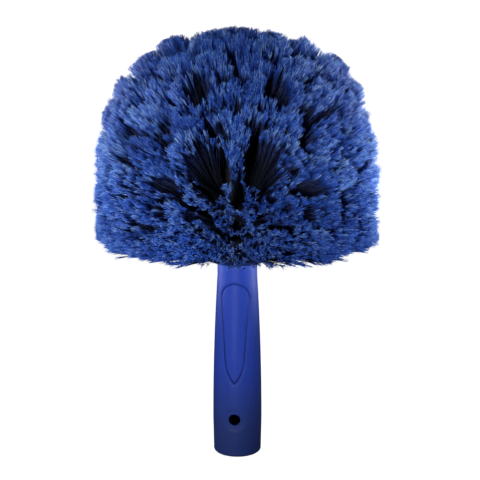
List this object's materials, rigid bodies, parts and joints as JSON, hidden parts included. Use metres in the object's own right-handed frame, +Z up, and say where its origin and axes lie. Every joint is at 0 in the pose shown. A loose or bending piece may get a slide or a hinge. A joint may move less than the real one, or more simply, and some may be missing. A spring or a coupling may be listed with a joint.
{
  "type": "wheel brush",
  "caption": "Domed soft-bristle wash brush with tufts set in a bullet-shaped block, on a tapered socket handle that locks on an extension pole by a spring button.",
  "frame": {"origin": "centre of the handle's open end, where the pole goes in", "axes": "+Z up the handle's axis to the crown of the bristles, -Y to the front, where the thumb recess and the button hole are"},
  "size_m": [0.198, 0.198, 0.303],
  "materials": {
    "handle_plastic": "moulded polypropylene, royal blue, satin with a fine moulded grain",
    "block_plastic": "moulded and drilled polypropylene, near black",
    "bristle": "flagged synthetic filament, royal blue, paler and split at the tips",
    "plated_steel": "zinc plated",
    "staple_wire": "flat drawn steel wire"
  },
  "bodies": {
    "root": {"handle": "handle_plastic", "head_block": "block_plastic", "block_screw": "plated_steel", "screw_washer": "plated_steel", "tuft_ring_1": "bristle", "tuft_ring_2": "bristle", "tuft_ring_3": "bristle", "tuft_ring_4": "bristle", "tuft_ring_5": "bristle", "tuft_ring_6": "bristle", "tuft_ring_7": "bristle", "tuft_ring_8": "bristle", "tuft_ring_9": "bristle", "tuft_ring_10": "bristle", "crown_tuft": "bristle", "staples_ring_1": "staple_wire", "staples_ring_2": "staple_wire", "staples_ring_3": "staple_wire", "staples_ring_4": "staple_wire", "staples_ring_5": "staple_wire", "staples_ring_6": "staple_wire", "staples_ring_7": "staple_wire", "staples_ring_8": "staple_wire", "staples_ring_9": "staple_wire", "staples_ring_10": "staple_wire", "crown_staple": "staple_wire"}
  },
  "joints": []
}
